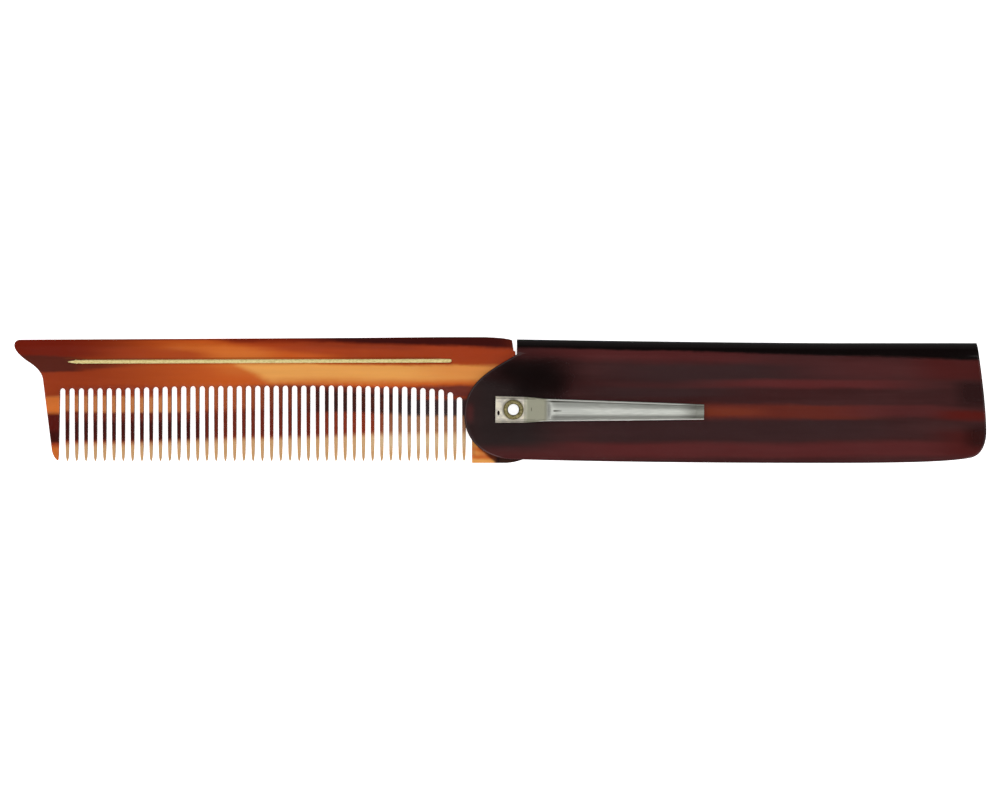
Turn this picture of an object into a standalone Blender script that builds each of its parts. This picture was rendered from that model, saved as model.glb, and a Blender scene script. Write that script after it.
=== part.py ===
"""Folding pocket comb with a spring clip, shown open and lying on its back.

X runs along the comb from the blade's nose to the handle's far end, Y runs up from the tooth tips to the
spine, and Z runs up through the thickness. Sizes are millimetres, and outlines are measured from the
pivot's centre, with z = 0 at the handle's back face. MM turns them into metres.
"""

from math import cos, pi, radians, sin

import bmesh
import bpy
import numpy as np
from mathutils import Matrix, Vector
from mathutils.geometry import interpolate_bezier

MM = 0.001

# Whole object, opened out
NOSE_REACH = 99.86
HANDLE_REACH = 94.5
SPINE_TOP = 14.52
HEEL_BOTTOM = -10.68
PIVOT = Vector(((NOSE_REACH - HANDLE_REACH) / 2, -(SPINE_TOP + HEEL_BOTTOM) / 2, 0))

# Handle, one folded sheet
HANDLE_THICKNESS = 6.8
SLOT_WIDTH = 3.2
SLOT_TOP = 11.1
SLOT_FILLET = 0.6
FOLD_RADIUS = 2.8
FOLD_TOP = 13.32
FOLD_RISE = 0.76
FOLD_RISE_END = 64.0
FOLD_RISE_POWER = 1.4
FOLD_STATIONS = 6
SPINE_END_X = 0.7
HANDLE_EDGE = 0.4
CUTTER_PROUD = 0.03

# Blade
BLADE_THICKNESS = 2.6
TIP_THICKNESS = 1.1
TAPER_TOP = 1.0
CROWN = (
    # depth below the spine's top, share of the full thickness
    (2.2, 1.0),
    (1.1, 0.9),
    (0.0, 0.6),
)
BLADE_EDGE = 0.1
HUB_RADIUS = 10.15

# Teeth
TEETH = 44
FIRST_TOOTH = -89.28
LAST_TOOTH = -9.88
TOOTH_BOW = 0.25
TOOTH_TIP = -10.32
GUARD_INNER_X = -90.76
HEEL_LEFT_X = -8.3
TOOTH_ROOT_HALF = 0.355
TOOTH_SHAPE = (
    # height, half width
    (-6.6, 0.33),
    (-8.8, 0.285),
    (-9.75, 0.19),
)
GAP_TOPS = (
    # gap counted from the nose, height of its round top
    (0, 4.26),
    (6, 4.3),
    (13, 4.68),
    (29, 4.82),
    (37, 4.58),
    (39, 4.3),
    (41, 4.02),
    (42, 3.46),
    (43, 2.46),
    (44, 1.4),
)

# Gold line along the spine
LINE_START = Vector((-89.1, 9.53))
LINE_END = Vector((-12.4, 9.63))
LINE_WIDTH = 0.76
LINE_POINT = 1.2
LINE_THICKNESS = 0.2
GROOVE_DEPTH = 0.4
GROOVE_GAP = 0.2

# Pivot
BORE = 2.2
TUBE = 2.7
FLANGE = 4.0
FLANGE_HEIGHT = 0.45
FLANGE_SUNK = 0.15
FLANGE_SECTION = (
    # share of the way from bore to rim, share of the flange's height
    (0.0, 0.45),
    (0.12, 0.8),
    (0.3, 1.0),
    (0.6, 1.0),
    (0.82, 0.8),
    (0.95, 0.45),
    (1.0, 0.0),
)
PIVOT_HOLE = 3.3
FLANGE_POCKET = 4.6
GAP = 0.3

# Clip
CLIP_THICKNESS = 0.5
CLIP_TURN = radians(-0.7)
CLIP_LIP = 0.25
CLIP_BASE_X = -3.55
CLIP_TIP_X = 38.24
CLIP_WIDTHS = (
    # distance along the clip, half width
    (CLIP_BASE_X, 2.7),
    (1.8, 2.7),
    (3.2, 2.58),
    (4.4, 2.38),
    (5.6, 2.3),
    (22.5, 1.9),
    (CLIP_TIP_X, 1.5),
)
CLIP_CROWN = (
    # distance along the clip, height of the round rib
    (6.2, 0.0),
    (7.3, 0.4),
    (9.0, 0.55),
    (30.0, 0.5),
    (36.0, 0.38),
    (CLIP_TIP_X, 0.2),
)
CLIP_SECTION = (
    # share of the half width, share of the rib's height, share of the lip's drop
    (1.0, 0.0, 1.0),
    (0.94, 0.0, 0.35),
    (0.85, 0.0, 0.0),
    (0.77, 0.0, 0.0),
    (0.62, 0.59, 0.0),
    (0.38, 0.87, 0.0),
)
CLIP_PIT = Vector((-2.95, -0.7))
CLIP_PIT_SIZE = (0.42, 0.9, 0.3)

CURVE_STEPS = 8
ROUND_STEPS = 32
OVERRUN = 1.0
BLADE_Z = HANDLE_THICKNESS / 2
CLIP_Z = HANDLE_THICKNESS + GAP + CLIP_LIP + CLIP_THICKNESS / 2


def clear_scene():
    for item in list(bpy.data.objects):
        bpy.data.objects.remove(item)


def new_collection(name):
    collection = bpy.data.collections.new(name)
    bpy.context.scene.collection.children.link(collection)
    return collection


def new_material(name, colour, roughness, metallic=0.0):
    material = bpy.data.materials.new(name)
    material.use_nodes = True
    shader = material.node_tree.nodes["Principled BSDF"]
    shader.inputs["Base Color"].default_value = (*colour, 1)
    shader.inputs["Roughness"].default_value = roughness
    shader.inputs["Metallic"].default_value = metallic
    material.diffuse_color = (*colour, 1)
    return material


def traced(start, *segments):
    """Points of an outline: a segment is (end,) for a line or (handle, handle, end) for a curve."""
    points = [Vector(start)]
    for *handles, end in segments:
        if handles:
            knots = [points[-1], *(Vector(handle) for handle in handles), Vector(end)]
            points += interpolate_bezier(*knots, CURVE_STEPS + 1)[1:]
        else:
            points.append(Vector(end))
    return points


def arc(centre, radius, start, end, steps):
    """Points on a circle from one angle to another, in radians, both ends included."""
    angles = (start + (end - start) * step / steps for step in range(steps + 1))
    return [Vector((centre[0] + radius * cos(angle), centre[1] + radius * sin(angle))) for angle in angles]


def plate(outline, thickness, edge=0.0, roundness=0):
    """A flat closed mesh of one outline, centred on z = 0, its rim eased by edge: a chamfer or rounder."""
    curve = bpy.data.curves.new("outline", "CURVE")
    curve.dimensions = "2D"
    curve.fill_mode = "BOTH"
    curve.extrude = thickness / 2 - edge
    curve.bevel_depth = edge
    curve.bevel_resolution = roundness
    curve.offset = -edge
    spline = curve.splines.new("POLY")
    spline.points.add(len(outline) - 1)
    for knot, point in zip(spline.points, outline):
        knot.co = (point[0], point[1], 0, 1)
    spline.use_cyclic_u = True
    holder = bpy.data.objects.new("outline", curve)
    bpy.context.scene.collection.objects.link(holder)
    drawn = holder.evaluated_get(bpy.context.evaluated_depsgraph_get())
    mesh = bpy.data.meshes.new_from_object(drawn)
    bpy.data.objects.remove(holder)
    bm = bmesh.new()
    bm.from_mesh(mesh)
    bmesh.ops.remove_doubles(bm, verts=bm.verts, dist=1e-4)
    bmesh.ops.recalc_face_normals(bm, faces=bm.faces)
    level = [edge for edge in bm.edges if all(abs(face.normal.z) > 0.999 for face in edge.link_faces)]
    bmesh.ops.dissolve_limit(bm, angle_limit=radians(0.5), edges=level)
    bm.to_mesh(mesh)
    bm.free()
    return mesh


def cross_cuts(bm, axis, levels):
    """Adds edges where the mesh crosses each level along one axis."""
    normal = Vector((0, 0, 0))
    normal[axis] = 1
    for level in levels:
        everything = bm.verts[:] + bm.edges[:] + bm.faces[:]
        bmesh.ops.bisect_plane(bm, geom=everything, dist=1e-4, plane_co=normal * level, plane_no=normal)


def cylinder(diameter, bottom, top):
    """A closed round bar on the pivot's axis between two heights."""
    mesh = bpy.data.meshes.new("cylinder")
    bm = bmesh.new()
    place = Matrix.Translation((0, 0, (bottom + top) / 2))
    size = diameter / 2
    bmesh.ops.create_cone(
        bm, cap_ends=True, segments=ROUND_STEPS, radius1=size, radius2=size, depth=top - bottom, matrix=place
    )
    bm.to_mesh(mesh)
    bm.free()
    return mesh


def add_object(name, mesh, collection, height=0.0, turn=0.0):
    """An object whose origin lies on the pivot's axis, from a mesh in millimetres."""
    mesh.name = name
    mesh.transform(Matrix.Scale(MM, 4))
    item = bpy.data.objects.new(name, mesh)
    item.location = (PIVOT + Vector((0, 0, height))) * MM
    item.rotation_euler.z = turn
    collection.objects.link(item)
    return item


def add_cutter(name, mesh, height=0.0, turn=0.0):
    cutter = add_object(name, mesh, cutters, height, turn)
    cutter.hide_render = True
    cutter.display_type = "WIRE"
    return cutter


def boolean(item, cutter, operation="DIFFERENCE"):
    modifier = item.modifiers.new(cutter.name, "BOOLEAN")
    modifier.operation = operation
    modifier.object = cutter
    modifier.solver = "EXACT"


def finish_round(item, material, angle=30):
    """Gives an object its material and smooth shading up to an angle."""
    item.data.materials.append(material)
    item.data.shade_smooth()
    item.data.set_sharp_from_angle(angle=radians(angle))


def tooth_centre(tooth):
    """Even steps from the first tooth to the last, bowed a little towards the hub in the middle."""
    share = tooth / (TEETH - 1)
    return FIRST_TOOTH + (LAST_TOOTH - FIRST_TOOTH) * share + TOOTH_BOW * sin(pi * share)


def gap_sides(gap):
    """The left and right wall of a gap at its top."""
    left = tooth_centre(gap - 1) + TOOTH_ROOT_HALF if gap > 0 else GUARD_INNER_X
    right = tooth_centre(gap) - TOOTH_ROOT_HALF if gap < TEETH else HEEL_LEFT_X
    return left, right


def gap_root(gap):
    """The round top of a gap, from its right wall to its left."""
    left, right = gap_sides(gap)
    radius = (right - left) / 2
    height = np.interp(gap, *zip(*GAP_TOPS)) - radius
    return arc(((left + right) / 2, height), radius, 0, pi, 4)


def tooth_sides(tooth):
    """A tooth below its root, down its right side to the tip and up its left."""
    centre = tooth_centre(tooth)
    down = [Vector((centre + half, height)) for height, half in TOOTH_SHAPE]
    up = [Vector((centre - half, height)) for height, half in reversed(TOOTH_SHAPE)]
    return [*down, Vector((centre, TOOTH_TIP)), *up]


def blade_outline():
    """The blade seen from the front, clockwise from the heel's lower left corner."""
    points = [Vector((HEEL_LEFT_X, HEEL_BOTTOM))]
    for gap in range(TEETH, 0, -1):
        points += gap_root(gap) + tooth_sides(gap - 1)
    points += gap_root(0)
    guard_and_nose = traced(
        (-90.98, -8.9),
        ((-91.02, -9.7),),
        ((-91.08, -10.05), (-91.12, -10.2), (-91.22, -10.2)),
        ((-91.6, -10.0), (-92.15, -9.3), (-92.38, -8.18)),
        ((-94.1, 5.82),),
        ((-94.29, 7.5), (-95.56, 8.58), (-96.8, 9.42)),
        ((-98.16, 10.24), (-NOSE_REACH, 11.7), (-NOSE_REACH, 12.85)),
        ((-NOSE_REACH, 13.6), (-99.4, 14.0), (-98.5, 14.0)),
        ((-60.0, 14.2),),
        ((-30.0, 14.38),),
    )
    top_and_end = traced(
        (-14.6, SPINE_TOP),
        ((-6.6, SPINE_TOP),),
        ((-4.0, SPINE_TOP), (-0.4, 14.25), (-0.24, 13.8)),
        ((0.02, 11.82),),
        ((SPINE_END_X - GAP, 11.6),),
    )
    right = pi / 2 - (SPINE_END_X - GAP) / HUB_RADIUS
    hub = arc((0, 0), HUB_RADIUS, right, radians(-78), 24)
    heel = traced(hub[-1], ((1.0, -10.3), (-0.2, HEEL_BOTTOM), (-1.6, HEEL_BOTTOM)))
    return points + guard_and_nose + top_and_end + hub + heel[1:]


def blade_half_thickness(x, y):
    """Full over the spine bar and the hub, thinner over the top edge and towards the tooth tips."""
    full = BLADE_THICKNESS / 2
    if x < HEEL_LEFT_X - TOOTH_ROOT_HALF and y < TAPER_TOP:
        return np.interp(y, (TOOTH_TIP, TAPER_TOP), (TIP_THICKNESS / 2, full))
    heights, shares = zip(*((SPINE_TOP - depth, share) for depth, share in CROWN))
    return full * np.interp(y, heights, shares)


def build_blade():
    mesh = plate(blade_outline(), BLADE_THICKNESS, BLADE_EDGE)
    bm = bmesh.new()
    bm.from_mesh(mesh)
    cross_cuts(bm, 1, [TAPER_TOP] + [SPINE_TOP - depth for depth, share in CROWN[:-1]])
    bmesh.ops.triangulate(bm, faces=bm.faces)
    for vertex in bm.verts:
        vertex.co.z *= blade_half_thickness(vertex.co.x, vertex.co.y) / (BLADE_THICKNESS / 2)
    bm.to_mesh(mesh)
    bm.free()
    blade = add_object("comb_blade", mesh, parts, BLADE_Z)
    hole = cylinder(PIVOT_HOLE, -BLADE_THICKNESS, BLADE_THICKNESS)
    boolean(blade, add_cutter("blade_pivot_hole", hole, BLADE_Z))
    groove = plate(line_outline(GROOVE_GAP), 2 * GROOVE_DEPTH)
    boolean(blade, add_cutter("line_groove", groove, BLADE_Z + BLADE_THICKNESS / 2))
    finish_round(blade, new_material("amber_acetate", (0.36, 0.09, 0.02), 0.18))


def line_outline(grow):
    """The gold line, pointed at the nose end and round at the other, grown all round."""
    half = LINE_WIDTH / 2 + grow
    along = (LINE_END - LINE_START).normalized()
    across = Vector((-along.y, along.x))
    start = LINE_START - along * grow
    shoulder = start + along * LINE_POINT
    turn = np.arctan2(along.y, along.x)
    end = arc(LINE_END - along * LINE_WIDTH / 2, half, turn - pi / 2, turn + pi / 2, 8)
    return [start, shoulder - across * half, *end, shoulder + across * half]


def build_line():
    floor = BLADE_Z + BLADE_THICKNESS / 2 - GROOVE_DEPTH
    mesh = plate(line_outline(0), LINE_THICKNESS)
    line = add_object("spine_line", mesh, parts, floor + GROOVE_GAP / 2 + LINE_THICKNESS / 2)
    finish_round(line, new_material("gold_leaf", (0.72, 0.56, 0.26), 0.3, 1.0))


def handle_section():
    """The folded sheet cut across, as (height, depth) about the middle of the slot."""
    low = HEEL_BOTTOM - 2
    half = HANDLE_THICKNESS / 2
    slot = SLOT_WIDTH / 2
    fold = FOLD_TOP - FOLD_RADIUS
    inner = SLOT_TOP - SLOT_FILLET
    return [
        Vector((low, -half)),
        *arc((fold, FOLD_RADIUS - half), FOLD_RADIUS, -pi / 2, 0, 6),
        *arc((fold, half - FOLD_RADIUS), FOLD_RADIUS, 0, pi / 2, 6),
        Vector((low, half)),
        Vector((low, slot)),
        *arc((inner, slot - SLOT_FILLET), SLOT_FILLET, pi / 2, 0, 3),
        *arc((inner, SLOT_FILLET - slot), SLOT_FILLET, 0, -pi / 2, 3),
        Vector((low, -slot)),
    ]


def handle_outline():
    """The handle seen from the front, anticlockwise from above the spine's pivot end."""
    above = SPINE_TOP + 2
    return traced(
        (SPINE_END_X, above),
        ((SPINE_END_X, SLOT_TOP - 0.05),),
        ((-0.4, 10.4),),
        ((-5.19, 7.7), (-9.6, 5.0), (-9.6, -1.0)),
        ((-9.6, -6.4), (-5.7, -9.93), (0.3, -9.93)),
        ((20.0, -10.5), (42.0, HEEL_BOTTOM), (63.0, HEEL_BOTTOM)),
        ((77.0, HEEL_BOTTOM), (87.4, -10.5), (91.5, -9.6)),
        ((93.5, -9.15), (HANDLE_REACH, -6.9), (HANDLE_REACH, -4.4)),
        ((HANDLE_REACH, 0.5), (93.35, 8.9), (92.7, 13.2)),
        ((92.7, above),),
    )


def raise_fold(bm):
    """The fold's top falls away from the pivot end along a shallow curve, and the slot stays straight."""
    low = FOLD_TOP - FOLD_RADIUS
    for vertex in bm.verts:
        x, y, z = vertex.co
        in_slot = abs(z) < SLOT_WIDTH / 2 + 0.01 and y < SLOT_TOP + 0.01
        if in_slot or y < low:
            continue
        rise = FOLD_RISE * max(0, 1 - max(0, x) / FOLD_RISE_END) ** FOLD_RISE_POWER
        vertex.co.y = low + (y - low) * (1 + rise / FOLD_RADIUS)


def build_handle():
    mesh = plate(handle_section(), 2 * (HANDLE_REACH + OVERRUN))
    mesh.transform(Matrix(((0, 0, 1, 0), (1, 0, 0, 0), (0, 1, 0, 0), (0, 0, 0, 1))))
    bm = bmesh.new()
    bm.from_mesh(mesh)
    cross_cuts(bm, 0, [FOLD_RISE_END * station / FOLD_STATIONS for station in range(FOLD_STATIONS + 1)])
    raise_fold(bm)
    bm.to_mesh(mesh)
    bm.free()
    handle = add_object("handle", mesh, parts, BLADE_Z)
    proud = HANDLE_THICKNESS + 2 * CUTTER_PROUD
    outline = plate(handle_outline(), proud, HANDLE_EDGE, 1)
    boolean(handle, add_cutter("handle_outline", outline, BLADE_Z), "INTERSECT")
    hole = cylinder(PIVOT_HOLE, -OVERRUN, HANDLE_THICKNESS + OVERRUN)
    boolean(handle, add_cutter("handle_pivot_hole", hole))
    pocket = cylinder(FLANGE_POCKET, -OVERRUN, FLANGE_SUNK + FLANGE_HEIGHT + GAP)
    boolean(handle, add_cutter("flange_pocket", pocket))
    finish_round(handle, new_material("dark_acetate", (0.045, 0.012, 0.01), 0.14))


def clip_side_path():
    """The clip seen from the side, as (distance, lift of its middle), from the base to the turned-up tip."""
    return traced(
        (CLIP_BASE_X, 0),
        ((-1.0, 0),),
        ((2.2, 0),),
        ((2.7, 0), (2.9, 0.04), (3.2, 0.15)),
        ((6.0, 1.35),),
        ((6.4, 1.48), (6.8, 1.5), (7.4, 1.5)),
        ((14.0, 1.5), (24.0, 0.9), (33.0, 0.32)),
        ((35.0, 0.18), (36.6, 0.1), (CLIP_TIP_X, 0.45)),
    )


def build_clip():
    lower = [(-side, rib, drop) for side, rib, drop in CLIP_SECTION]
    section = [*lower, (0, 1, 0), *reversed(CLIP_SECTION)]
    path = clip_side_path()
    mesh = bpy.data.meshes.new("clip")
    bm = bmesh.new()
    bmesh.ops.create_grid(bm, x_segments=len(path) - 1, y_segments=len(section) - 1, size=1)
    for vertex in bm.verts:
        along, lift = path[round((vertex.co.x + 1) / 2 * (len(path) - 1))]
        side, rib, drop = section[round((vertex.co.y + 1) / 2 * (len(section) - 1))]
        crown = np.interp(along, *zip(*CLIP_CROWN))
        half_width = np.interp(along, *zip(*CLIP_WIDTHS))
        vertex.co = (along, half_width * side, lift + crown * rib - CLIP_LIP * drop)
    bm.to_mesh(mesh)
    bm.free()
    clip = add_object("pocket_clip", mesh, parts, CLIP_Z, CLIP_TURN)
    sheet = clip.modifiers.new("sheet", "SOLIDIFY")
    sheet.thickness = CLIP_THICKNESS * MM
    sheet.offset = 0
    boolean(clip, add_cutter("clip_pivot_hole", cylinder(PIVOT_HOLE, -OVERRUN, OVERRUN), CLIP_Z))
    width, height, depth = CLIP_PIT_SIZE
    pit = cylinder(1, -depth, depth)
    pit.transform(Matrix.Diagonal((width, height, 1, 1)))
    pit.transform(Matrix.Translation((*CLIP_PIT, 0)))
    boolean(clip, add_cutter("clip_pit", pit, CLIP_Z + CLIP_THICKNESS / 2))
    finish_round(clip, new_material("bright_steel", (0.62, 0.62, 0.6), 0.2, 1.0))


def build_eyelet():
    """The rivet's cut section, down its outer side and up its bore, turned about the pivot's axis."""
    bore = BORE / 2
    spread = FLANGE / 2 - bore
    top = CLIP_Z + CLIP_THICKNESS / 2 + GAP
    low = FLANGE_SUNK + FLANGE_HEIGHT
    front = [(bore + spread * out, top + FLANGE_HEIGHT * rise) for out, rise in FLANGE_SECTION]
    back = [(bore + spread * out, low - FLANGE_HEIGHT * rise) for out, rise in reversed(FLANGE_SECTION)]
    profile = [*front, (TUBE / 2, top), (TUBE / 2, low), *back]
    count = len(profile)
    mesh = bpy.data.meshes.new("eyelet")
    loop = [(corner, (corner + 1) % count) for corner in range(count)]
    mesh.from_pydata([(radius, 0, height) for radius, height in profile], loop, [])
    eyelet = add_object("pivot_eyelet", mesh, parts)
    screw = eyelet.modifiers.new("turned", "SCREW")
    screw.steps = ROUND_STEPS
    screw.render_steps = ROUND_STEPS
    screw.use_merge_vertices = True
    screw.merge_threshold = 1e-5
    screw.use_smooth_shade = True
    eyelet.data.materials.append(new_material("old_brass", (0.42, 0.36, 0.2), 0.35, 1.0))


clear_scene()
parts = new_collection("folding_comb")
cutters = new_collection("cutters")
build_blade()
build_line()
build_handle()
build_clip()
build_eyelet()
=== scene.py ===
"""Looks of the folding pocket comb: tortoiseshell acetate, sprung steel clip, brass eyelet and gold line.

Sizes are millimetres, and MM turns them into metres. X runs from the blade's nose to the handle's end,
Y up to the spine and Z out of the front. The outlines of blade, handle and clip are drawn about the pivot
and moved to their place. The gold line and the streaks are placed in the part's own frame.
"""

from math import cos, pi, radians, sin
from random import Random

import bmesh
import bpy
import numpy as np
from mathutils import Matrix, Vector
from mathutils.geometry import interpolate_bezier


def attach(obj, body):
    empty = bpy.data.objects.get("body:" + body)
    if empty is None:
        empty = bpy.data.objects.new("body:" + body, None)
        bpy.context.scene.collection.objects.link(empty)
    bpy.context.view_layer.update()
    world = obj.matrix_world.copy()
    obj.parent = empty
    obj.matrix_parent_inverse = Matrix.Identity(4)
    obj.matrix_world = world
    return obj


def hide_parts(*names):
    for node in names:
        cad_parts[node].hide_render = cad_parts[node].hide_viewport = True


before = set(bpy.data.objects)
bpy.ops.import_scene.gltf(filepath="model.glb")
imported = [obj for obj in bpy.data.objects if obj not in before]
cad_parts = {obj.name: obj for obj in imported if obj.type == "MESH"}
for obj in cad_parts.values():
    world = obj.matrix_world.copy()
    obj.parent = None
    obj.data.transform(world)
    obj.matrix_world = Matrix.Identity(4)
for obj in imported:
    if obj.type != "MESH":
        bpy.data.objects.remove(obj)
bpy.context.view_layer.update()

MM = 0.001

# Camera, straight above, with the photograph's scale of five pixels a millimetre
FRAME_WIDTH = 200.0
CAMERA_HEIGHT = 1400.0
SCALE_HEIGHT = 5.0
SENSOR = 36.0
NEAREST = 50.0

# Outlines and sections, as in the CAD source but with finer steps
PIVOT_X = 2.68
PIVOT_Y = -1.92
PIVOT_HOLE = 3.3
FLANGE_POCKET = 4.6
FLANGE_POCKET_TOP = 0.9
MIDDLE = 3.4
NOSE_REACH = 99.86
HANDLE_REACH = 94.5
SPINE_TOP = 14.52
HEEL_BOTTOM = -10.68
GAP = 0.3
OVERRUN = 1.0

# Meshes: steps round curves, limits for joining, and degrees over which an edge stays sharp
CURVE_STEPS = 24
BAR_STEPS = 96
MERGE = 1e-4
LEVEL = 0.999
FLAT_ANGLE = radians(0.5)
SHARP = 40
CLIP_SHARP = 38
FOIL_SHARP = 50
SHADING_WEIGHT = 80

# Handle, one folded sheet
HANDLE_THICKNESS = 6.8
SLOT_WIDTH = 3.2
SLOT_TOP = 11.1
SLOT_FILLET = 0.6
FOLD_RADIUS = 2.8
FOLD_TOP = 13.32
FOLD_RISE = 0.76
FOLD_RISE_END = 64.0
FOLD_RISE_POWER = 1.4
SPINE_END_X = 0.7
HUB_LEFT = -9.84
NOTCH_DROP = 0.05
HANDLE_RIM = 0.4
HANDLE_RIM_STEPS = 4
HANDLE_PROUD = 0.006
FOLD_STEPS = 16
FILLET_STEPS = 6
SLICE = 3.0
TOUCH = 0.01

# Turns a section drawn as (height, depth) so that it runs along X
SECTION_TO_X = Matrix(((0, 0, 1, 0), (1, 0, 0, 0), (0, 1, 0, 0), (0, 0, 0, 1)))

# Blade
BLADE_THICKNESS = 2.6
TIP_THICKNESS = 1.1
TAPER_TOP = 1.0
TAPER_SLICE = 1.0
CROWN_DEPTH = 2.2
CROWN_LOSS = 0.4
CROWN_LEVELS = 6
BLADE_RIM = 0.12
BLADE_RIM_STEPS = 2
HUB_RADIUS = 10.15
HUB_END = radians(-78)
HUB_STEPS = 72
GROOVE_DEPTH = 0.4
GROOVE_GAP = 0.2
GROOVE_STEPS = 16

# Teeth
TEETH = 44
FIRST_TOOTH = -89.28
LAST_TOOTH = -9.88
TOOTH_BOW = 0.25
GUARD_INNER_X = -90.76
HEEL_LEFT_X = -8.3
TOOTH_ROOT_HALF = 0.385
TOOTH_TIP = -10.34
GAP_STEPS = 14
TOOTH_SHAPE = (
    # half width, height
    (0.365, -6.6),
    (0.315, -8.8),
    (0.265, -9.55),
    (0.18, -10.03),
    (0.09, -10.27),
)
GAP_TOPS = (
    # gap counted from the nose, height of its round top
    (0, 4.26),
    (6, 4.3),
    (13, 4.68),
    (29, 4.82),
    (37, 4.58),
    (39, 4.3),
    (41, 4.02),
    (42, 3.46),
    (43, 2.46),
    (44, 1.4),
)

# Clip
CLIP_TURN = radians(-0.7)
CLIP_TOP = 7.8
CLIP_THICKNESS = 0.5
CLIP_LIP = 0.25
CLIP_SKIRT = 0.3
CLIP_BEAD = 0.46
CLIP_UNDER_WIDTH = 0.9
CLIP_PIT = (-2.98, -0.68)
CLIP_PIT_RADII = (0.25, 0.48)
CLIP_CORNERS = (
    # distance along the clip, lift, how far from the corner its bend starts
    (-3.58, 0, 0),
    (2.75, 0, 0.1),
    (6.9, 1.5, 0.7),
    (14.0, 1.5, 4.0),
    (33.5, 0.3, 3.0),
    (36.6, 0.25, 0.9),
    (38.04, 0.62, 0),
)
CLIP_WIDTHS = (
    # distance along the clip, half width
    (-3.58, 2.68),
    (1.8, 2.68),
    (3.2, 2.5),
    (4.4, 2.3),
    (5.6, 2.25),
    (22.5, 1.9),
    (38.04, 1.52),
)
CLIP_CROWN = (
    # distance along the clip, height of the round rib
    (6.9, 0.0),
    (7.8, 0.3),
    (9.4, 0.42),
    (30.0, 0.36),
    (36.0, 0.26),
    (38.04, 0.14),
)
BEAD_SECTION = (
    # share of the bead's width, rise
    (0.0, 0.0),
    (0.12, 0.0),
    (0.24, 0.03),
    (0.4, 0.07),
    (0.58, 0.085),
    (0.76, 0.07),
    (0.9, 0.02),
    (0.98, -0.06),
    (1.0, -0.15),
)
CROWN_STEPS = 21
BEND_STEPS = 8
ARM_STOPS = (8, 36)

# Rivet
BORE = 2.2
TUBE = 2.7
FLANGE = 4.0
FLANGE_HEIGHT = 0.45
EYELET_TOP = 8.15
EYELET_LOW = 0.6
EYELET_STEPS = 96
EYELET_WAVES = 4
EYELET_WAVER = 0.02
ROLLED_FLANGE = (
    # share of the way from bore to rim, share of the flange's height
    (0.0, 0.1),
    (0.02, 0.45),
    (0.08, 0.72),
    (0.18, 0.9),
    (0.3, 1.0),
    (0.45, 1.0),
    (0.6, 0.95),
    (0.76, 0.82),
    (0.88, 0.62),
    (0.96, 0.35),
    (1.0, 0.1),
    (1.0, 0.0),
)

# Gold line, whose foil is torn by FOIL_TEAR at its sides, and less so after its first millimetres
LINE_START = Vector((-86.42, 7.61))
LINE_END = Vector((-9.72, 7.71))
LINE_WIDTH = 0.74
LINE_POINT = 1.6
LINE_LOW = 4.35
LINE_TOP = 4.66
LINE_STEPS = 380
FOIL_RIM = 0.03
FOIL_TEAR = (-0.07, 0.05)
FOIL_FRAYED = 3.0
FOIL_CALM = 0.25
FOIL_FIRST_WIDTH = 0.25
FOIL_LAST_WIDTH = 0.5
FOIL_OFFSET = 0.03
FOIL_DRIFT = 0.12

# Colours as seen, red, green and blue from 0 to 255
AMBER = (213, 147, 74)
ORANGE = (181, 80, 26)
FLAME = (192, 100, 38)
RUST = (146, 52, 20)
BRICK = (118, 42, 22)
CHERRY = (102, 24, 9)
RUSSET = (146, 72, 38)
LIVER = (92, 30, 18)
MAROON = (55, 13, 10)
UMBER = (76, 29, 20)
INK = (32, 16, 18)
SLATE = (42, 34, 36)
TAN = (186, 146, 102)
HAZEL = (146, 104, 74)
BISCUIT = (196, 168, 132)
SAND = (176, 110, 62)
SCORCH = (146, 46, 14)
SHADE = (104, 46, 14)
MAHOGANY = (132, 46, 17)
CHESTNUT = (139, 51, 20)
OXBLOOD = (53, 25, 25)
MULBERRY = (60, 31, 31)
CHARCOAL = (48, 31, 32)
HUB_SHADE = (32, 27, 27)
FOLD_SHADE = (8, 3, 3)
BLOOD = (9, 3, 3)
CLARET = (82, 33, 33)
WINE = (68, 17, 14)
EMBER = (96, 36, 25)
CINDER = (106, 43, 25)
STEEL_SHADE = (64, 62, 54)
TIP_SHADE = (104, 104, 93)
PLUM = (88, 38, 34)
GARNET = (78, 18, 12)
CREAM = (250, 242, 220)
IVORY = (214, 207, 195)
WHITE = (255, 253, 248)
RAMP_SHADE = (176, 175, 154)
NICKEL = (214, 216, 208)
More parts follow.
